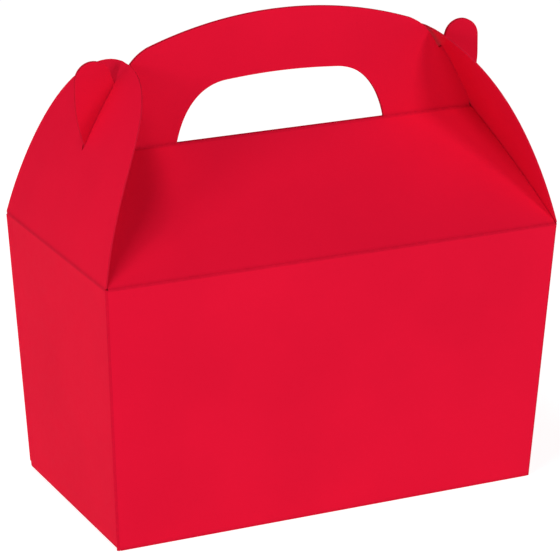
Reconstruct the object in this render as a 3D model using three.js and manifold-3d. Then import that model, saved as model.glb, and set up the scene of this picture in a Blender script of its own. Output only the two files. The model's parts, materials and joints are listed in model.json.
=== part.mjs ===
// Gable carton with a carrying handle: one die-cut sheet of board, folded and glued at one seam.
// Every panel between two creases is its own solid. Millimetres, +Z up, front towards -Y.
import * as THREE from 'three';
import Module from 'manifold-3d';
import { mergeVertices } from 'three/addons/utils/BufferGeometryUtils.js';

const wasm = await Module();
wasm.setup();

// ---- driving dimensions ----
const TOP_LENGTH = 159;      // outside, along X, at the upper crease
const TOP_WIDTH = 86;        // outside, along Y, at the upper crease
const WALL_HEIGHT = 90;
const WALL_SPREAD = 4.8;     // how far each wall leans out from foot to top
const RIDGE_RISE = 30;       // ridge above the upper crease
const HANDLE_RISE = 40.5;    // top of the arch above the ridge
const BOARD = 0.5;
const CREASE_GAP = 0.3;      // bare crease left at each side of a fold
const PLY_GAP = 0.3;         // air between boards that lie on each other
const GRIP_HALF = 37;        // half of the hand hole, at the ridge
const GRIP_HEIGHT = 20;
const SHOULDER_DROP = 8.05;  // ends of the arch below its top
const NOTCH_DROP = 19.5;     // bottom of the notch beside the arch
const HORN_DROP = 16.5;      // centre of the horn's round end
const HORN_OUT = 8.25;       // that centre outside the end flap's face
const HORN_RADIUS = 6.1;
const HORN_BULGE = 0.1;      // horn's outer side past its round end
const HORN_TURN = 152;       // degrees of its round end
const ARCH_INSET = 10.9;     // ends of the arch inside the bottom of the notch
const FOOT_RISE = 3.6;       // height of the upright foot of the handle's ends
const FLANK_RISE = 4.2;      // bend in the notch's inner side above its bottom
const FLAP_LEAN = 11.2;      // degrees inwards from upright, at the crease
const FLAP_BOW = 149;        // radius of the bowed end flap
const FLAP_TAPER = 0.21;
const FLAP_INSET = 0.3;      // side of the end flap's foot inside the carton's width
const SLOT_FOOT = 2;         // slot's lower end above the ridge
const SLOT_HALF = 3.9;       // half of the opening between the two halves of the flap
const SLOT_HEADROOM = 1.5;   // slot's upper end above the bottom of the notch
const BRIDGE = 7.2;          // board left above the slot, along the curve
const LIP_GAP = 0.3;
const RIDGE_GAP = 0.5;       // bare crease at each side of the ridge
const ROOF_INSET = 1.2;      // foot of the roof's ends inside the carton's length
const ROOF_END_GAP = 0.45;   // ends of the roof to the inside of the flap
const HANDLE_END_GAP = 1;    // foot of the handle's ends to the inside of the flap
const NOTCH_GAP = 1.1;       // bottom of the notch to the inside of the flap
const SHOULDER_GAP = 1.2;    // side of the notch to the inside of the flap
const TIP_HALF = 4.5;        // half of the end flap's blunt tip
const SEAM_WIDTH = 15;
const SEAM_INSET = 5;        // ends of the glue flap to the sleeve's ends
const SEAM_CHAMFER = 6;
const GLUE_MARGIN = 3;       // bare border of the glue flap
const GLUE = 0.15;
const GLUE_GAP = 0.05;       // at each face of the glue line
const FLAP_CORNER = 4;       // rounding of the long bottom flaps' corners
const MITRE = 0.8;           // back and side bottom flaps keep this far from the 45 degree line
const FRONT_OVERLAP = 5;     // the front bottom flap reaches past that line, over the side flaps
const SIDE_TIP = 6.9;        // half of a side flap's free edge
const SIDE_OVERLAP = 3;      // side flaps reach this far past where the long flaps stop narrowing
const TONGUE_HALF = 20;
const TONGUE_LENGTH = 12.5;
const TONGUE_CLIMB = 4.2;    // run in which the tongue rises through the recess
const TONGUE_ROOM = 14.6;    // tongue's tip to the back wall
const RECESS = 18;
const RECESS_GAP = 0.9;      // end of the climb to the recess's edge

// ---- values that follow ----
const halfLength = z => TOP_LENGTH / 2 - WALL_SPREAD * (1 - z / WALL_HEIGHT);
const halfWidth = z => TOP_WIDTH / 2 - WALL_SPREAD * (1 - z / WALL_HEIGHT);
const wallSkin = BOARD * Math.hypot(1, WALL_SPREAD / WALL_HEIGHT); // board measured level
const wallTop = WALL_HEIGHT - BOARD;
const ridgeZ = WALL_HEIGHT + RIDGE_RISE;
const handleFace = PLY_GAP / 2 + BOARD;
const roofRun = TOP_WIDTH / 2 - handleFace;
const roofSlope = Math.atan2(RIDGE_RISE, roofRun);
const roofLength = Math.hypot(RIDGE_RISE, roofRun);
const clearOfPlies = handleFace + PLY_GAP;
const footX = halfLength(0) - wallSkin;
const footY = halfWidth(0) - wallSkin;

// The end flap is bowed to a circle: its face at a height, and the run along it up to a height.
const lean = THREE.MathUtils.degToRad(90 - FLAP_LEAN);
const bowX = TOP_LENGTH / 2 - FLAP_BOW * Math.sin(lean);
const bowZ = WALL_HEIGHT - FLAP_BOW * Math.cos(lean);
const flapFace = (z, depth) => bowX + Math.sqrt((FLAP_BOW - depth) ** 2 - (z - bowZ) ** 2);
const flapRun = z => FLAP_BOW * (lean - Math.acos((z - bowZ) / FLAP_BOW));

const red = new THREE.Color(0.66, 0.012, 0.032);
const edgeRed = new THREE.Color(0.32, 0.01, 0.02);
const glueColor = new THREE.Color(0.8, 0.78, 0.7);
const group = new THREE.Group();
group.name = 'gable_carton';

function add(name, geometry, color = red) {
  geometry.computeVertexNormals();
  const material = new THREE.MeshStandardMaterial({ color, roughness: 0.55, metalness: 0 });
  material.name = `${name}_board`;
  const mesh = new THREE.Mesh(geometry, material);
  mesh.name = name;
  group.add(mesh);
}

// A closed sheet from a grid of outer and inner points; keep() leaves cells out.
function sheet(rows, columns, outer, inner, keep = () => true) {
  const points = [];
  const index = (i, j, side) => ((i * (columns + 1)) + j) * 2 + side;
  for (let i = 0; i <= rows; i++) {
    for (let j = 0; j <= columns; j++) points.push(...outer(i, j), ...inner(i, j));
  }
  const faces = [];
  const quad = (a, b, c, d) => faces.push(a, b, c, a, c, d);
  const there = (i, j) => i >= 0 && j >= 0 && i < rows && j < columns && keep(i, j);
  for (let i = 0; i < rows; i++) {
    for (let j = 0; j < columns; j++) {
      if (!there(i, j)) continue;
      const corners = [[i, j], [i + 1, j], [i + 1, j + 1], [i, j + 1]];
      quad(...corners.map(([a, b]) => index(a, b, 0)));
      quad(...corners.map(([a, b]) => index(a, b, 1)).reverse());
      const beyond = [[i, j - 1], [i + 1, j], [i, j + 1], [i - 1, j]];
      beyond.forEach((cell, k) => {
        if (there(...cell)) return;
        const [p, q] = [corners[k], corners[(k + 1) % 4]];
        quad(index(...q, 0), index(...p, 0), index(...p, 1), index(...q, 1));
      });
    }
  }
  return closed(points, faces);
}

// Geometry with its faces turned outwards.
function closed(points, faces) {
  const corner = k => new THREE.Vector3().fromArray(points, k * 3);
  let volume = 0;
  for (let f = 0; f < faces.length; f += 3) {
    const [a, b, c] = [0, 1, 2].map(k => corner(faces[f + k]));
    volume += a.dot(b.cross(c));
  }
  if (volume < 0) {
    for (let f = 0; f < faces.length; f += 3) [faces[f], faces[f + 1]] = [faces[f + 1], faces[f]];
  }
  const geometry = new THREE.BufferGeometry();
  geometry.setAttribute('position', new THREE.Float32BufferAttribute(points, 3));
  geometry.setIndex(faces);
  return geometry;
}

// A flat four-cornered board: outer corners in order, shifted inwards for the inner face.
function slab(corners, shift) {
  const at = (i, j) => corners[i ? (j ? 2 : 3) : (j ? 1 : 0)];
  return sheet(1, 1, at, (i, j) => at(i, j).map((v, k) => v + shift[k]));
}

// A flat outline given thickness: `place` turns outline x, y and depth into X, Y, Z.
function cut(outline, depth, place) {
  const geometry = new THREE.ExtrudeGeometry(outline, { depth, bevelEnabled: false, curveSegments: 20 });
  geometry.deleteAttribute('normal');
  geometry.deleteAttribute('uv');
  const welded = mergeVertices(geometry, 1e-4);
  const from = welded.getAttribute('position');
  const points = [];
  for (let k = 0; k < from.count; k++) points.push(...place(from.getX(k), from.getY(k), from.getZ(k)));
  return closed(points, [...welded.index.array]);
}

function solid(geometry) {
  return new wasm.Manifold(new wasm.Mesh({
    numProp: 3,
    vertProperties: new Float32Array(geometry.getAttribute('position').array),
    triVerts: new Uint32Array(geometry.index.array),
  }));
}

function drawn(manifold) {
  const mesh = manifold.getMesh();
  return closed([...mesh.vertProperties], [...mesh.triVerts]);
}

// ---- the four walls, one tapered sleeve ----
for (const [name, side] of [['front_wall', -1], ['back_wall', 1]]) {
  add(name, slab([
    [-halfLength(0), side * halfWidth(0), 0], [halfLength(0), side * halfWidth(0), 0],
    [halfLength(wallTop), side * halfWidth(wallTop), wallTop],
    [-halfLength(wallTop), side * halfWidth(wallTop), wallTop],
  ], [0, -side * wallSkin, 0]));
}
for (const [name, side] of [['left_wall', -1], ['right_wall', 1]]) {
  const reach = z => halfWidth(z) - wallSkin - CREASE_GAP;
  add(name, slab([
    [side * halfLength(0), -reach(0), 0], [side * halfLength(0), reach(0), 0],
    [side * halfLength(wallTop), reach(wallTop), wallTop],
    [side * halfLength(wallTop), -reach(wallTop), wallTop],
  ], [-side * wallSkin, 0, 0]));
}

// ---- the glued seam, behind the left wall ----
function seamStrip(depthIn, thick, width, low, high) {
  const x = z => -(halfLength(z) - wallSkin) + depthIn;
  const y = z => halfWidth(z) - wallSkin - CREASE_GAP;
  const end = z => y(z) - width;
  return slab([
    [x(low), y(low), low], [x(low + SEAM_CHAMFER), end(low + SEAM_CHAMFER), low + SEAM_CHAMFER],
    [x(high - SEAM_CHAMFER), end(high - SEAM_CHAMFER), high - SEAM_CHAMFER], [x(high), y(high), high],
  ], [thick, 0, 0]);
}
const glueInset = SEAM_INSET + GLUE_MARGIN;
add('seam_glue',
  seamStrip(GLUE_GAP, GLUE, SEAM_WIDTH - GLUE_MARGIN, glueInset, wallTop - glueInset), glueColor);
add('glue_flap',
  seamStrip(GLUE + 2 * GLUE_GAP, BOARD, SEAM_WIDTH, SEAM_INSET, wallTop - SEAM_INSET));

// ---- roof panels and handle panels, front and back ----
// A closed outline from a path along its right half, drawn from the bottom up.
function mirrored(draw, steps = 16) {
  const half = new THREE.Path();
  draw(half);
  const right = half.getPoints(steps);
  const left = right.filter(p => p.x > 0.01).map(p => new THREE.Vector2(-p.x, p.y)).reverse();
  return new THREE.Shape([...right, ...left]);
}

const roofBase = TOP_LENGTH / 2 - ROOF_INSET;
const roofTop = flapFace(ridgeZ, BOARD) - ROOF_END_GAP;
const handleFoot = ridgeZ + RIDGE_GAP;
const endX = flapFace(handleFoot, BOARD) - HANDLE_END_GAP;
const endBend = ridgeZ + FOOT_RISE;
const archTop = ridgeZ + HANDLE_RISE;
const notchZ = archTop - NOTCH_DROP;
const notchX = flapFace(notchZ, BOARD) - NOTCH_GAP;
const hornZ = archTop - HORN_DROP;
const hornX = flapFace(hornZ, 0) + HORN_OUT;
const hornSide = hornX + HORN_RADIUS + HORN_BULGE;
const hornBase = hornZ - HORN_RADIUS;
const flankZ = notchZ + FLANK_RISE;
const flankX = flapFace(flankZ, BOARD) - SHOULDER_GAP;
const shoulderX = notchX - ARCH_INSET;
const archRadius = (shoulderX ** 2 + SHOULDER_DROP ** 2) / (2 * SHOULDER_DROP);
const shoulder = Math.asin(shoulderX / archRadius);
const shoulderZ = archTop - SHOULDER_DROP;

function handleHalf(path) {
  path.moveTo(endX, handleFoot);
  path.lineTo(endX + HORN_BULGE, endBend);
  path.quadraticCurveTo(hornSide - 2 * HORN_BULGE, (endBend + hornBase) / 2, hornSide, hornBase);
  path.lineTo(hornX + HORN_RADIUS, hornZ);
  path.absarc(hornX, hornZ, HORN_RADIUS, 0, THREE.MathUtils.degToRad(HORN_TURN), false);
  path.lineTo(notchX + 0.7, notchZ + 0.5);
  path.quadraticCurveTo(notchX, notchZ - 0.2, notchX - 0.6, notchZ + 0.6);
  path.lineTo(flankX, flankZ);
  path.quadraticCurveTo(shoulderX + 5.1, shoulderZ - 2.2, shoulderX, shoulderZ);
  path.absarc(0, archTop - archRadius, archRadius, Math.PI / 2 - shoulder, Math.PI / 2, false);
}

// The hand hole is cut through the lower edge, so that the ridge is its floor.
function gripHalf(path) {
  const top = ridgeZ + GRIP_HEIGHT;
  path.moveTo(GRIP_HALF, ridgeZ - 1);
  path.lineTo(GRIP_HALF, ridgeZ + 0.6);
  path.bezierCurveTo(GRIP_HALF - 2.3, top - 9, GRIP_HALF - 8, top - 1.2, GRIP_HALF - 18.5, top - 0.8);
  path.quadraticCurveTo((GRIP_HALF - 18.5) / 2, top, 0, top);
}

for (const [name, side] of [['front', -1], ['back', 1]]) {
  const y = q => side * (TOP_WIDTH / 2 - q * Math.cos(roofSlope));
  const along = q => [y(q), WALL_HEIGHT + q * Math.sin(roofSlope)];
  const half = q => roofBase + (roofTop - roofBase) * q / roofLength;
  const [low, high] = [CREASE_GAP, roofLength - RIDGE_GAP];
  add(`${name}_roof`, slab([
    [-half(low), ...along(low)], [half(low), ...along(low)],
    [half(high), ...along(high)], [-half(high), ...along(high)],
  ], [0, -side * BOARD * Math.sin(roofSlope), -BOARD * Math.cos(roofSlope)]));
  const place = (x, z, d) => [x, side * (PLY_GAP / 2 + d), z];
  const cutter = (x, z, d) => [x, side * (PLY_GAP / 2 - 1 + d), z];
  add(`${name}_handle`, drawn(solid(cut(mirrored(handleHalf), BOARD, place))
    .subtract(solid(cut(mirrored(gripHalf), BOARD + 2, cutter)))));
}

// ---- bowed end flaps, open slot for the handle, and the flexible edge around that slot ----
function flapPoint(side, s, y, depth) {
  const a = lean - s / FLAP_BOW;
  const radius = FLAP_BOW - depth;
  return [side * (bowX + radius * Math.sin(a)), y, bowZ + radius * Math.cos(a)];
}
const slotStart = flapRun(ridgeZ + SLOT_FOOT);
const slotEnd = flapRun(notchZ + SLOT_HEADROOM);
const flapReach = slotEnd + BRIDGE;
const flapSide = s => TOP_WIDTH / 2 - FLAP_INSET - FLAP_TAPER * s;
const flapHalf = s => flapSide(s) * Math.sqrt(1 - (s / flapReach) ** 6);
const flapTip = flapReach * (1 - (TIP_HALF / flapSide(flapReach)) ** 2) ** (1 / 6);
const lowRows = 8;
const highRows = 22;
function flapStation(i) {
  if (i <= lowRows) return CREASE_GAP + (slotStart - CREASE_GAP) * i / lowRows;
  return slotStart + (flapTip - slotStart) * Math.sin((i - lowRows) / highRows * Math.PI / 2);
}
const lipRows = 14;
const bridgeRows = 5;
function lipStation(i) {
  const start = slotStart + LIP_GAP;
  if (i <= lipRows) return start + (slotEnd - start) * i / lipRows;
  return slotEnd + (flapTip + 0.1 - slotEnd) * (i - lipRows) / bridgeRows;
}
const lipEdge = SLOT_HALF - LIP_GAP;
for (const [name, side] of [['left', -1], ['right', 1]]) {
  const across = s => [-flapHalf(s), -SLOT_HALF, SLOT_HALF, flapHalf(s)];
  const flap = depth => (i, j) => flapPoint(side, flapStation(i), across(flapStation(i))[j], depth);
  add(`${name}_end_flap`,
    sheet(lowRows + highRows, 3, flap(0), flap(BOARD), (i, j) => j !== 1 || i < lowRows));
  const lips = [-lipEdge, -clearOfPlies, clearOfPlies, lipEdge];
  const lip = depth => (i, j) => flapPoint(side, lipStation(i), lips[j], depth);
  add(`${name}_slot_lip`,
    sheet(lipRows + bridgeRows, 3, lip(0), lip(BOARD), (i, j) => j !== 1 || i >= lipRows), edgeRed);
}

// ---- four bottom flaps in three plies, and the tongue that locks them ----
const ply = k => k * (BOARD + PLY_GAP);
const sideReach = footY - MITRE - SIDE_TIP;
const square = sideReach - SIDE_OVERLAP; // beyond this reach the long flaps stop narrowing
const frontReach = 2 * footY - TONGUE_ROOM - TONGUE_LENGTH - CREASE_GAP;
const tongueStart = -footY + frontReach + CREASE_GAP;
const backReach = footY - (tongueStart + TONGUE_CLIMB + RECESS_GAP) + RECESS;

function longFlap(reach, beyond, notch) {
  const wide = footX - 1;
  const narrow = footX - MITRE - square + beyond;
  const straight = narrow + square - wide;
  return mirrored(path => {
    path.moveTo(wide, CREASE_GAP);
    if (straight > CREASE_GAP) path.lineTo(wide, straight);
    path.lineTo(narrow, square);
    path.lineTo(narrow, reach - FLAP_CORNER);
    path.quadraticCurveTo(narrow, reach, narrow - FLAP_CORNER, reach);
    if (notch) {
      path.lineTo(TONGUE_HALF + 6, reach);
      path.quadraticCurveTo(TONGUE_HALF + 3, reach, TONGUE_HALF + 2.4, reach - FLAP_CORNER);
      path.lineTo(TONGUE_HALF + 1, reach - notch);
    }
  }, 6);
}
const sideFlap = mirrored(path => {
  path.moveTo(footY - MITRE - CREASE_GAP, CREASE_GAP);
  path.lineTo(SIDE_TIP + 3, sideReach - 3);
  path.quadraticCurveTo(SIDE_TIP, sideReach, SIDE_TIP - 3, sideReach);
}, 6);
const [frontFlap, backFlap] = [longFlap(frontReach, FRONT_OVERLAP, 0), longFlap(backReach, 0, RECESS)];
add('front_bottom_flap', cut(frontFlap, BOARD, (x, y, d) => [x, y - footY, ply(0) + d]));
add('back_bottom_flap', cut(backFlap, BOARD, (x, y, d) => [x, footY - y, ply(2) + d]));
for (const [name, side] of [['left', -1], ['right', 1]]) {
  add(`${name}_bottom_flap`,
    cut(sideFlap, BOARD, (x, y, d) => [side * (footX - y), x, ply(1) + d]));
}

// The tongue leaves the front flap's edge and climbs through the recess to lie on the back flap.
const climbRows = 12;
function tonguePoint(i, j, depth) {
  const run = TONGUE_LENGTH * i / climbRows;
  const k = Math.min(run / TONGUE_CLIMB, 1);
  const rise = ply(3) * k * k * (3 - 2 * k);
  const half = TONGUE_HALF * Math.sqrt(1 - 0.35 * (i / climbRows) ** 4);
  return [(j ? 1 : -1) * half, tongueStart + run, rise + depth];
}
add('lock_tongue', sheet(climbRows, 1, (i, j) => tonguePoint(i, j, 0), (i, j) => tonguePoint(i, j, BOARD)));

export default group;
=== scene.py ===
import json
import math

import bmesh
import bpy
from mathutils import Matrix, Vector


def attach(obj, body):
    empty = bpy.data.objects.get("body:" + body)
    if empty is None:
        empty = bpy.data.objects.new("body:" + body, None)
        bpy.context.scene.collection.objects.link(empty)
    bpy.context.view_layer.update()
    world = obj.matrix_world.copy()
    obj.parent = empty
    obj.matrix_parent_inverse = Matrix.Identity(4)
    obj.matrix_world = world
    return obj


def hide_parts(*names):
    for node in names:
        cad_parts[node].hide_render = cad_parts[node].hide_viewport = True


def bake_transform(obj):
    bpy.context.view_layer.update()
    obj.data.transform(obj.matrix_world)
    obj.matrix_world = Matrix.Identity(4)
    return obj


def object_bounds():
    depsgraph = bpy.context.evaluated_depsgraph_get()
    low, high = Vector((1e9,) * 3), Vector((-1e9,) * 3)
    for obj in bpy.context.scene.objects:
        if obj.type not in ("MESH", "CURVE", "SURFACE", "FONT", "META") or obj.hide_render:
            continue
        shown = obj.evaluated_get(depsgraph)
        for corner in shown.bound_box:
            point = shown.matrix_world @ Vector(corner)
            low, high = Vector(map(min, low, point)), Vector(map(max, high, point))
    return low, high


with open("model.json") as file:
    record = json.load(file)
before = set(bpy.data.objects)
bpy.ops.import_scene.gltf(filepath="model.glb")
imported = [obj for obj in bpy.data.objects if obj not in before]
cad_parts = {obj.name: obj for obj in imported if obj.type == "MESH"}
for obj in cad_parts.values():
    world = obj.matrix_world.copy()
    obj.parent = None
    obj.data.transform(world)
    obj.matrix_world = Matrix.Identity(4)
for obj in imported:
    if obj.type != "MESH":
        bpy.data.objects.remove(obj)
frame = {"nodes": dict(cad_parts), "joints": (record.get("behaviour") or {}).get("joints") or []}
cad_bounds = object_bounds()

# Looks of the gable carton: one sheet of coated red board, creased, folded and drawn around the CAD.
# Lengths are in millimetres until a mesh is made. "Out" is how far a point lies from the middle plane,
# and "run" is how far it lies along a folded board.

# ---------------------------------------------------------------- sizes
MM = 0.001
UP = math.pi / 2
CREASES = {joint["name"]: [round(abs(c) / MM, 3) for c in joint["pos_m"]] for joint in frame["joints"]}
TOP_X, _, WALL_TOP = CREASES["left_flap_crease"]
TOP_Y = CREASES["front_roof_crease"][1]
_, HANDLE_FACE, RIDGE_Z = CREASES["front_handle_crease"]
BOARD = 0.5
SPREAD = 4.8          # how far each wall leans out from foot to upper crease
CORNER = 0.8          # outer radius of the sleeve's four folds
CORNER_INSET = 0.84   # flat boards stop this far short of the sleeve's corners
JOIN = 0.7            # a folded piece meets the sleeve this far below the upper crease
FOOT_JOIN = 2.8       # a bottom flap meets the sleeve at this height
SEAM_WIDTH, SEAM_END, SEAM_CHAMFER = 14.2, 5, 6
FLAP_LEAN = math.radians(11.2)    # inwards from upright, at the crease
FLAP_BOW = 149.0      # radius of the bowed end flap
FLAP_REACH = 64.2     # along the bow, from crease to tip
FLAP_TAPER = 0.21     # lost at each side per millimetre of reach
FLAP_INSET = 0.3      # side of the end flap's foot inside the carton's width
SLOT_LOW, SLOT_HIGH = 33.2, 56.2  # ends of the end flap's slot, along the bow
SLOT_HALF = 0.95
HORN_X, HORN_Z, HORN_RADIUS = 65.4, 144.0, 6.1    # the horn's round end
HORN_TURN = 152       # degrees of it
ARCH_RADIUS = 138.3
ARCH_END = 46.5       # half length of the arch
GRIP_HALF, GRIP_TOP = 37, 140     # hand hole: half of its foot, and the height of its top
PLY_GAP = 0.3         # air between bottom flaps
MITRE = 0.8           # bottom flaps keep this far from their corner's 45 degree line
SQUARE = 27           # past this reach the long bottom flaps stop narrowing
FRONT_REACH, BACK_REACH, SIDE_REACH = 48, 40, 30  # of the bottom flaps
FRONT_OVERLAP = 5     # the front bottom flap reaches this far past the mitre
RECESS = 18           # depth of the back bottom flap's recess
TONGUE_HALF, TONGUE_END, TONGUE_SLOPE = 20.0, 12.6, math.radians(38)

LEAN = math.atan2(SPREAD, WALL_TOP)
ROOF_SLOPE = math.atan2(RIDGE_Z - WALL_TOP, TOP_Y - HANDLE_FACE)
ROOF_LENGTH = math.hypot(RIDGE_Z - WALL_TOP, TOP_Y - HANDLE_FACE)
BOW_X = TOP_X - FLAP_BOW * math.cos(FLAP_LEAN)
BOW_Z = WALL_TOP - FLAP_BOW * math.sin(FLAP_LEAN)


def half_x(z):
    return TOP_X - SPREAD * (1 - z / WALL_TOP)


def half_y(z):
    return TOP_Y - SPREAD * (1 - z / WALL_TOP)


def flap_face(z, depth):
    """How far out the bowed end flap stands at a height, on its outer face or this deep behind it."""
    return BOW_X + math.sqrt((FLAP_BOW - depth) ** 2 - (z - BOW_Z) ** 2)


# ---------------------------------------------------------------- materials
def red_board(name, color, roughness, grain, crease_shade_depth=0.0):
    """Coated board: slow mottling of the ink, fine fibre relief, and painted shade along a crease, made
    patchy by noise.
    """
    material = bpy.data.materials.new(name)
    material.use_nodes = True
    nodes, links = material.node_tree.nodes, material.node_tree.links
    shader = nodes["Principled BSDF"]
    where = nodes.new("ShaderNodeTexCoord").outputs["Object"]

    def noise(scale, detail, stretch=None):
        source = where
        if stretch:
            mapping = nodes.new("ShaderNodeMapping")
            mapping.inputs["Scale"].default_value = stretch
            links.new(where, mapping.inputs["Vector"])
            source = mapping.outputs["Vector"]
        node = nodes.new("ShaderNodeTexNoise")
        node.inputs["Scale"].default_value = scale
        node.inputs["Detail"].default_value = detail
        links.new(source, node.inputs["Vector"])
        return node.outputs["Fac"]

    def ramp(source, low, high, a, b):
        node = nodes.new("ShaderNodeMapRange")
        node.inputs["From Min"].default_value = low
        node.inputs["From Max"].default_value = high
        node.inputs["To Min"].default_value = a
        node.inputs["To Max"].default_value = b
        links.new(source, node.inputs["Value"])
        return node.outputs["Result"]

    def math_node(operation, a, b):
        node = nodes.new("ShaderNodeMath")
        node.operation = operation
        for socket, value in zip(node.inputs, (a, b)):
            if isinstance(value, (int, float)):
                socket.default_value = value
            else:
                links.new(value, socket)
        return node.outputs[0]

    cloudy = ramp(noise(22, 3), 0.35, 0.65, 0.97, 1.03)
    flecks = ramp(noise(2600, 2), 0.62, 0.8, 1.0, 0.9)
    # Painted crease shade: where the fold attribute is high, near a crease, the base colour is made darker,
    # patchy through a fine noise.
    fold = nodes.new("ShaderNodeAttribute")
    fold.attribute_name = "fold"
    crease_shade = math_node("MULTIPLY", fold.outputs["Fac"], ramp(noise(900, 4), 0.3, 0.7, 0.75, 1.25))
    ink = math_node("MULTIPLY", cloudy, flecks)
    shade = math_node("SUBTRACT", ink, math_node("MULTIPLY", crease_shade, crease_shade_depth))
    tint = nodes.new("ShaderNodeVectorMath")
    tint.operation = "SCALE"
    tint.inputs[0].default_value = color
    links.new(shade, tint.inputs["Scale"])
    links.new(tint.outputs[0], shader.inputs["Base Color"])
    sheen = ramp(noise(400, 3), 0.3, 0.7, roughness - 0.05, roughness + 0.06)
    links.new(sheen, shader.inputs["Roughness"])

    fibre = math_node("ADD", noise(1500, 5, (1, 1, 0.35)), math_node("MULTIPLY", noise(180, 2), 0.6))
    bump = nodes.new("ShaderNodeBump")
    bump.inputs["Strength"].default_value = grain
    bump.inputs["Distance"].default_value = 0.00005
    links.new(fibre, bump.inputs["Height"])
    links.new(bump.outputs["Normal"], shader.inputs["Normal"])
    shader.inputs["Specular IOR Level"].default_value = 0.005
    return material


# The board's darkening along creases, 0.2 here, is painted crease shade.
RED = red_board("coated_board", (0.74, 0.0065, 0.033), 0.55, 0.35, crease_shade_depth=0.2)
EDGE = red_board("cut_edge", (0.6, 0.008, 0.03), 0.85, 0.8)
GLUE = red_board("dried_glue", (0.74, 0.7, 0.58), 0.4, 0.6)


# ---------------------------------------------------------------- lines in a plane
def arc(cx, cy, radius, start, end, steps):
    angles = [math.radians(start + (end - start) * k / steps) for k in range(steps + 1)]
    return [(cx + radius * math.cos(a), cy + radius * math.sin(a)) for a in angles]


def curve(points, steps):
    """A Bezier curve of any order through its end points."""
    order = len(points) - 1
    out = []
    for k in range(steps + 1):
        t = k / steps
        weights = [math.comb(order, i) * t ** i * (1 - t) ** (order - i) for i in range(order + 1)]
        out.append(tuple(sum(w * p[axis] for w, p in zip(weights, points)) for axis in (0, 1)))
    return out


def mirrored(half):
    """A closed outline from its right half, listed from the bottom up."""
    return half + [(-u, v) for u, v in reversed(half)]


def trace(start, heading, runs):
    """A path of (length, curvature) runs: gives point and heading at a distance, also before its start."""
    def at(distance):
        (p, z), h, left = start, heading, distance
        for k, (length, bend) in enumerate(runs):
            step = left if (left < length or k == len(runs) - 1) else length
            if abs(bend) < 1e-9:
                p, z = p + step * math.cos(h), z + step * math.sin(h)
            else:
                turned = h + step * bend
                p += (math.sin(turned) - math.sin(h)) / bend
                z -= (math.cos(turned) - math.cos(h)) / bend
                h = turned
            left -= step
            if left <= 0:
                break
        return p, z, h
    return at


def crease(turn, radius):
    """How much a rounded fold takes off each straight side, and its run."""
    return radius * math.tan(abs(turn) / 2), (radius * abs(turn), math.copysign(1 / radius, turn))


# ---------------------------------------------------------------- boards
SIDES = {
    "front": lambda u, out, z: (u, -out, z),
    "back": lambda u, out, z: (-u, out, z),
    "left": lambda u, out, z: (-out, -u, z),
    "right": lambda u, out, z: (out, u, z),
}
EDGE_INDEX = 1        # material slot of the cut edges


def make_object(name, bm):
    mesh = bpy.data.meshes.new(name)
    bmesh.ops.recalc_face_normals(bm, faces=bm.faces)
    bm.to_mesh(mesh)
    bm.free()
    obj = bpy.data.objects.new(name, mesh)
    bpy.context.scene.collection.objects.link(obj)
    for material in (RED, EDGE):
        mesh.materials.append(material)
    mesh.polygons.foreach_set("use_smooth", [True] * len(mesh.polygons))
    mesh.set_sharp_from_angle(angle=math.radians(40))
    return obj


def folded_board(name, outline, holes, rows, place, at, creases=()):
    """A board cut to a flat outline and folded: point (u, v) goes to distance v along the path `at`.

    rows are the v where the mesh gets an edge, so that the fold is round.
    """
    bm = bmesh.new()
    for loop in [outline, *holes]:
        verts = [bm.verts.new((u, v, 0)) for u, v in loop]
        for a, b in zip(verts, verts[1:] + verts[:1]):
            bm.edges.new((a, b))
    bmesh.ops.triangle_fill(bm, use_beauty=True, use_dissolve=False, edges=bm.edges[:])
    low, high = min(v for _, v in outline), max(v for _, v in outline)
    for row in rows:
        if low + 1e-4 < row < high - 1e-4:
            everything = bm.verts[:] + bm.edges[:] + bm.faces[:]
            bmesh.ops.bisect_plane(
                bm, geom=everything, plane_co=(0, row, 0), plane_no=(0, 1, 0), dist=1e-5)
    bmesh.ops.triangulate(bm, faces=[f for f in bm.faces if len(f.verts) > 4])
    fold = bm.verts.layers.float.new("fold")
    fold_width = 0.8
    rim = [e for e in bm.edges if len(e.link_faces) == 1]
    inner = {}
    for vert in bm.verts[:]:
        u, v, _ = vert.co
        out, z, heading = at(v)
        deep_out, deep_z = BOARD * math.sin(heading), -BOARD * math.cos(heading)
        # The fold value, highest on a crease, sets where painted crease shade darkens the colour.
        away = min((abs(v - c) for c in creases), default=math.inf)
        vert[fold] = math.exp(-(away / fold_width) ** 2)
        twin = bm.verts.new(Vector(place(u, out - deep_out, z - deep_z)) * MM)
        twin[fold] = vert[fold]
        inner[vert] = twin
        vert.co = Vector(place(u, out, z)) * MM
    for face in bm.faces[:]:
        bm.faces.new([inner[v] for v in reversed(face.verts)])
    for edge in rim:
        a, b = edge.verts
        bm.faces.new((a, b, inner[b], inner[a])).material_index = EDGE_INDEX
    return make_object(name, bm)


def rows_near(v, reach=0.8, step=0.16):
    """Close rows around a crease, and a few further out."""
    count = round(reach / step)
    return [v + k * step for k in range(-count, count + 1)] + [v - 1.6, v + 1.6, v - 2.6, v + 2.6]


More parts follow.
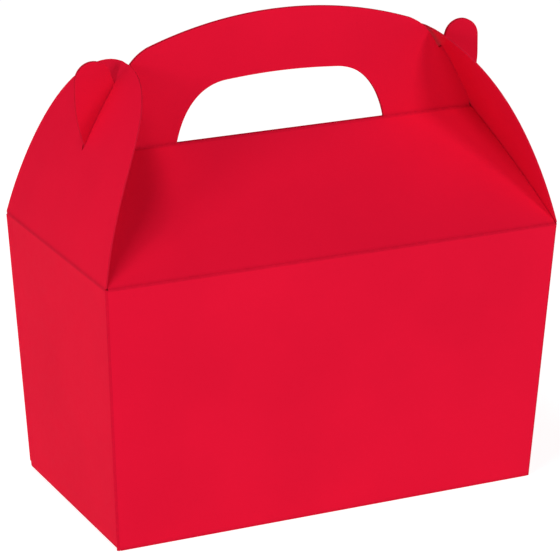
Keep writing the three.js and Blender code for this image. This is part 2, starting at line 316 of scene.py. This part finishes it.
# ---------------------------------------------------------------- the sleeve, one strip glued to itself
def sleeve_columns():
    """Upright lines of the strip in plan order, each (z to x, y and outward normal, low z, high z).

    The strip runs left wall from its free edge, front, right, back, then glue flap behind the left wall.
    """
    columns = []
    tuck = BOARD + 0.25       # depth of the glue flap's face behind the left wall's
    end_crown, side_crown = 0.2, 0.45
    wall_top, fold_foot, fold_top = WALL_TOP - JOIN, 0.25, WALL_TOP - 0.15

    def plan(side_x, side_y, dx=0.0, dy=0.0):
        """A corner of the sleeve's plan at a height, moved by dx, dy."""
        return lambda z: (side_x * half_x(z) + dx, side_y * half_y(z) + dy)

    def flat(start, end, normal, count, crown):
        for k in range(count + 1):
            def spot(z, t=k / count):
                a, b = start(z), end(z)
                bow = crown * math.sin(math.pi * t) * math.sin(math.pi * min(max(z / WALL_TOP, 0), 1))
                return *(a[i] + (b[i] - a[i]) * t + normal[i] * bow for i in (0, 1)), normal
            columns.append((spot, FOOT_JOIN, wall_top))

    def corner(centre, first):
        for k in range(9):
            angle = first + k / 8 * UP

            def spot(z, n=(math.cos(angle), math.sin(angle))):
                return *(centre(z)[i] + CORNER * n[i] for i in (0, 1)), n
            columns.append((spot, fold_foot, fold_top))

    inset = CORNER_INSET
    flat(plan(-1, 1, dy=-0.1), plan(-1, -1, dy=inset), (-1, 0), 12, end_crown)
    corner(plan(-1, -1, CORNER, CORNER), math.pi)
    flat(plan(-1, -1, dx=inset), plan(1, -1, dx=-inset), (0, -1), 20, side_crown)
    corner(plan(1, -1, -CORNER, CORNER), 1.5 * math.pi)
    flat(plan(1, -1, dy=inset), plan(1, 1, dy=-inset), (1, 0), 12, end_crown)
    corner(plan(1, 1, -CORNER, -CORNER), 0)
    flat(plan(1, 1, dx=-inset), plan(-1, 1, dx=tuck + inset), (0, 1), 20, side_crown)
    corner(plan(-1, 1, tuck + CORNER, -CORNER), UP)
    seam_steps = 6
    for k in range(seam_steps + 1):
        t = k / seam_steps
        line = plan(-1, 1, dx=tuck, dy=-CORNER - 0.05 - SEAM_WIDTH * t)
        low = SEAM_END + SEAM_CHAMFER * t
        columns.append((lambda z, line=line: (*line(z), (-1, 0)), low, WALL_TOP - BOARD - low))
    return columns


def sleeve():
    rows = 18
    columns = sleeve_columns()
    bm = bmesh.new()
    fold = bm.verts.layers.float.new("fold")
    grids = []
    for depth in (0, BOARD):
        grid = []
        for spot, low, high in columns:
            line = []
            for r in range(rows + 1):
                z = low + (high - low) * r / rows
                x, y, n = spot(z)
                vert = bm.verts.new(Vector((x - n[0] * depth, y - n[1] * depth, z)) * MM)
                # Painted crease shade: the sleeve's rounded corner columns get fold 0.8, which darkens their
                # colour.
                vert[fold] = 0.8 if abs(n[0] * n[1]) > 1e-6 else 0.0
                line.append(vert)
            grid.append(line)
        grids.append(grid)
    outer, inner = grids
    last = len(columns) - 1
    for i in range(last):
        for r in range(rows):
            for grid in grids:
                bm.faces.new((grid[i][r], grid[i + 1][r], grid[i + 1][r + 1], grid[i][r + 1]))
        for r in (0, rows):
            cut = bm.faces.new((outer[i][r], outer[i + 1][r], inner[i + 1][r], inner[i][r]))
            cut.material_index = EDGE_INDEX
    for i in (0, last):
        for r in range(rows):
            cut = bm.faces.new((outer[i][r], outer[i][r + 1], inner[i][r + 1], inner[i][r]))
            cut.material_index = EDGE_INDEX
    obj = make_object("sleeve_board", bm)
    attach(obj, "carton_sleeve")
    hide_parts("front_wall", "back_wall", "left_wall", "right_wall", "glue_flap")


# ---------------------------------------------------------------- roof and handle
def upper_path(half, runs):
    """A board's path up the wall from where it meets the sleeve, through these runs."""
    return trace((half(WALL_TOP - JOIN), WALL_TOP - JOIN), UP - LEAN, runs)


def roofs_and_handles():
    turn = math.pi - ROOF_SLOPE - (UP - LEAN)
    cut_back, round_fold = crease(turn, 0.7)
    ridge_cut, ridge_fold = crease(-(UP - ROOF_SLOPE), 0.4)
    below = JOIN / math.cos(LEAN)
    runs = [(below - cut_back, 0), round_fold, (ROOF_LENGTH - cut_back - ridge_cut, 0), ridge_fold, (60, 0)]
    at = upper_path(half_y, runs)
    fold_v = below - cut_back + round_fold[0] / 2
    ridge_v = sum(length for length, _ in runs[:3]) + ridge_fold[0] / 2
    seam_v = ridge_v - 0.9    # the roof board ends and the handle board starts here
    roof_start = fold_v + 1.6

    def roof_half(v):
        return flap_face(WALL_TOP + (v - fold_v) * math.sin(ROOF_SLOPE), BOARD) - 0.15

    def level(z):
        """Run along the board of a height on the upright handle."""
        return z - RIDGE_Z + ridge_v

    wall_half = half_x(WALL_TOP - JOIN) - CORNER_INSET
    ends = [roof_start + (seam_v - roof_start) * k / 12 for k in range(13)]
    roof = mirrored([(wall_half, 0), (wall_half, fold_v - 0.2), (TOP_X - 0.9, fold_v + 0.3)]
                    + [(roof_half(v), v) for v in ends])

    arch_centre = cad_bounds[1][2] / MM - ARCH_RADIUS
    arch_start = math.degrees(math.acos(ARCH_END / ARCH_RADIUS))
    shoulder = (ARCH_END, level(arch_centre + math.sqrt(ARCH_RADIUS ** 2 - ARCH_END ** 2)))
    roof_top = flap_face(RIDGE_Z, BOARD) - 0.3
    foot = [(roof_half(seam_v), seam_v), (roof_top, ridge_v - 0.2),
            (68.9, ridge_v + 0.5), (68.7, level(122.4))]
    handle = mirrored(
        foot
        + curve([(68.7, level(123.2)), (71.4, level(131)), (71.6, level(138))], 12)
        + arc(HORN_X, level(HORN_Z), HORN_RADIUS, 0, HORN_TURN, 24)
        + curve([(58.1, level(141.5)), (57.4, level(140.8)), (56.8, level(141.6))], 6)
        + curve([(54.5, level(145.2)), (51.6, level(150.25)), shoulder], 14)
        + arc(0, level(arch_centre), ARCH_RADIUS, arch_start, 90, 28)[1:-1])
    bend = (18.5, level(139.2))   # where the hole's round side meets its arched top
    hole = mirrored(
        [(GRIP_HALF - 0.05, ridge_v + 0.12)]
        + curve([(GRIP_HALF, level(120.6)), (34.7, level(131)), (29, level(138.8)), bend], 20)
        + curve([bend, (9, level(GRIP_TOP)), (0.5, level(GRIP_TOP))], 10)[1:])
    for side, y in (("front", -1), ("back", 1)):
        obj = folded_board(
            f"{side}_roof_board", roof, [], rows_near(fold_v, 0.96, 0.12), SIDES[side], at, (fold_v,))
        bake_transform(obj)
        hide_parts(f"{side}_roof")
        obj = folded_board(
            f"{side}_handle_board", handle, [hole], rows_near(ridge_v), SIDES[side], at, (ridge_v,))
        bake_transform(obj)
        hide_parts(f"{side}_handle")


# ---------------------------------------------------------------- bowed end flaps with their slot
def end_flaps():
    cut_back, round_fold = crease(FLAP_LEAN + LEAN, 0.8)
    below = JOIN / math.cos(LEAN)
    at = upper_path(half_x, [(below - cut_back, 0), round_fold, (80, 1 / FLAP_BOW)])
    fold_v = below - cut_back + round_fold[0] / 2

    def half(s):
        straight = TOP_Y - FLAP_INSET - FLAP_TAPER * s
        return straight * math.sqrt(max(1 - (s / FLAP_REACH) ** 6, 0))

    stations = [1.5 + (FLAP_REACH - 1.7) * math.sin(k / 24 * UP) for k in range(25)]
    wall_half = half_y(WALL_TOP - JOIN) - CORNER_INSET
    outline = mirrored([(wall_half, 0), (wall_half, fold_v - 0.1), (half(0.5), fold_v + 0.5)]
                       + [(half(s), fold_v + s) for s in stations]
                       + [(3.0, fold_v + FLAP_REACH - 0.06)])
    foot, head = fold_v + SLOT_LOW, fold_v + SLOT_HIGH - SLOT_HALF
    slot = mirrored([(0.12, foot), (0.72, foot + 1.2), (0.85, foot + 4),
                     (SLOT_HALF, fold_v + 48), (SLOT_HALF, head)]
                    + arc(0, head, SLOT_HALF, 25, 80, 3))
    rows = rows_near(fold_v, 0.96, 0.12) + [fold_v + 1.5 * k for k in range(2, 42)]
    for side, x in (("left", -1), ("right", 1)):
        obj = folded_board(f"{side}_flap_board", outline, [slot], rows, SIDES[side], at, (fold_v,))
        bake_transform(obj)
        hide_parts(f"{side}_end_flap", f"{side}_slot_lip")


# ---------------------------------------------------------------- bottom flaps in three plies
FOOT_X, FOOT_Y = half_x(0) - BOARD, half_y(0) - BOARD
PLY = BOARD + PLY_GAP


def bottom_board(name, side, half, across, level, outline_of):
    """A flap folded in from the foot of a wall: `half` is that wall's place, `across` half its length."""
    cut_back, round_fold = crease(LEAN - UP, 0.6)
    down = (FOOT_JOIN - level) / math.cos(LEAN)
    at = trace((half(FOOT_JOIN), FOOT_JOIN), -UP - LEAN, [(down - cut_back, 0), round_fold, (90, 0)])
    fold_v = down - cut_back + round_fold[0] / 2

    def turned_over(v):
        """The path with the board's thickness on its upper side."""
        out, z, heading = at(v)
        return out, z, heading + math.pi

    outline = mirrored([(across(FOOT_JOIN) - CORNER_INSET, 0), (across(0) - CORNER_INSET, fold_v - 0.3)]
                       + outline_of(fold_v))
    obj = folded_board(
        name, outline, [], rows_near(fold_v, 0.8, 0.1), SIDES[side], turned_over, (fold_v,))
    out = half(0)
    a, b = [Vector(SIDES[side](0, o, z + level)) * MM for o, z in ((out + 0.1, 0.9), (out - 1.1, 0.0))]
    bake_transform(obj)
    return obj


def long_flap(reach, beyond, notch):
    """Outline of the front or back flap past its crease; a notch makes the recess for the tongue."""
    wide = FOOT_X - 1
    narrow = FOOT_X - MITRE - SQUARE + beyond
    straight = narrow + SQUARE - wide

    def outline(fold_v):
        end = fold_v + reach
        edge = [(wide, fold_v + 0.6)]
        if straight > 0.6:
            edge.append((wide, fold_v + straight))
        edge += [(narrow, fold_v + SQUARE)] + curve([(narrow, end - 4), (narrow, end), (narrow - 4, end)], 6)
        if notch:
            edge += curve([(TONGUE_HALF + 6, end), (TONGUE_HALF + 3, end), (TONGUE_HALF + 2.4, end - 4)], 5)
            edge += [(TONGUE_HALF + 1, end - notch)]
        return edge
    return outline


def side_flap(fold_v):
    """Outline of an end wall's flap past its crease."""
    wide = FOOT_Y - MITRE
    tip = wide - SIDE_REACH
    end = fold_v + SIDE_REACH
    return [(wide - 0.6, fold_v + 0.6)] + curve([(tip + 3, end - 3), (tip, end), (tip - 3, end)], 6)


def bottom_flaps():
    front = bottom_board("front_bottom_board", "front", half_y, half_x, 0,
                         long_flap(FRONT_REACH, FRONT_OVERLAP, 0))
    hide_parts("front_bottom_flap")
    back = bottom_board("back_bottom_board", "back", half_y, half_x, 2 * PLY,
                        long_flap(BACK_REACH, 0, RECESS))
    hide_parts("back_bottom_flap")
    for side in ("left", "right"):
        obj = bottom_board(f"{side}_bottom_board", side, half_x, half_y, PLY, side_flap)
        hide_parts(f"{side}_bottom_flap")


def lock_tongue():
    """The tongue climbs from the front flap's edge to lie over the back flap."""
    rise = 3 * PLY / math.sin(TONGUE_SLOPE)
    cut_back, (length, bend) = crease(TONGUE_SLOPE, 1.2)
    path = trace((0, 0), 0, [(0.6, 0), (length, bend), (rise - 2 * cut_back, 0), (length, -bend), (20, 0)])
    half = TONGUE_HALF
    outline = mirrored([(half, -0.02)] + curve([(half, 6), (half - 0.6, 11), (half - 5, TONGUE_END)], 8))
    rows = [k * 0.35 for k in range(1, 24)]
    start = -FOOT_Y + FRONT_REACH + 0.02
    obj = folded_board(
        "lock_tongue_board", outline, [], rows, lambda u, p, z: (u, start + p, z), path)
    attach(obj, "front_bottom")
    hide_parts("lock_tongue")


# ---------------------------------------------------------------- floor, light, camera
WHITE = (1, 1, 1, 1)


def floor():
    bm = bmesh.new()
    bmesh.ops.create_grid(bm, x_segments=8, y_segments=8, size=4.0)
    mesh = bpy.data.meshes.new("floor")
    bm.to_mesh(mesh)
    bm.free()
    obj = bpy.data.objects.new("floor", mesh)
    bpy.context.scene.collection.objects.link(obj)
    pale = bpy.data.materials.new("pale_floor")
    pale.use_nodes = True
    shader = pale.node_tree.nodes["Principled BSDF"]
    shader.inputs["Base Color"].default_value = (0.35, 0.35, 0.35, 1)
    shader.inputs["Roughness"].default_value = 0.9
    shader.inputs["Emission Color"].default_value = WHITE
    shader.inputs["Emission Strength"].default_value = 0.88
    mesh.materials.append(pale)


def softbox(name, place, power, size=0.35, aim=(0, 0, 0.09)):
    data = bpy.data.lights.new(name, "AREA")
    data.shape = "RECTANGLE"
    data.size = data.size_y = size
    data.energy = power
    lamp = bpy.data.objects.new(name, data)
    lamp.location = place
    lamp.rotation_euler = (Vector(aim) - Vector(place)).to_track_quat("-Z", "Y").to_euler()
    bpy.context.scene.collection.objects.link(lamp)


def lights():
    world = bpy.data.worlds.new("studio")
    bpy.context.scene.world = world
    world.use_nodes = True
    world.node_tree.nodes["Background"].inputs["Color"].default_value = WHITE
    world.node_tree.nodes["Background"].inputs["Strength"].default_value = 0.12
    softbox("left", (-1.3, -0.6, 0.5), 4.6)
    softbox("right", (0.5, -1.24, 0.77), 6.3, size=0.3)
    softbox("far_left", (-1.3, 0.35, 0.4), 1.5, size=0.5)
    softbox("top", (-0.45, -0.35, 1.35), 7, aim=(0, 0, 0.1))


def camera():
    lens = bpy.data.cameras.new("camera")
    lens.lens = 204.68
    lens.sensor_width = 36
    lens.clip_end = 20
    view = bpy.data.objects.new("camera", lens)
    azimuth, elevation, roll = math.radians(25.411), math.radians(19.220), math.radians(0.257)
    turned = (Matrix.Rotation(-azimuth, 4, "Z") @ Matrix.Rotation(UP - elevation, 4, "X")
              @ Matrix.Rotation(roll, 4, "Z"))
    view.matrix_world = Matrix.Translation((-0.4250, -0.8943, 0.4135)) @ turned
    bpy.context.scene.collection.objects.link(view)
    bpy.context.scene.camera = view
    bpy.context.scene.view_settings.view_transform = "Standard"


sleeve()
roofs_and_handles()
end_flaps()
bottom_flaps()
lock_tongue()
glue = frame["nodes"]["seam_glue"]
glue.data.materials.clear()
glue.data.materials.append(GLUE)
floor()
lights()
camera()
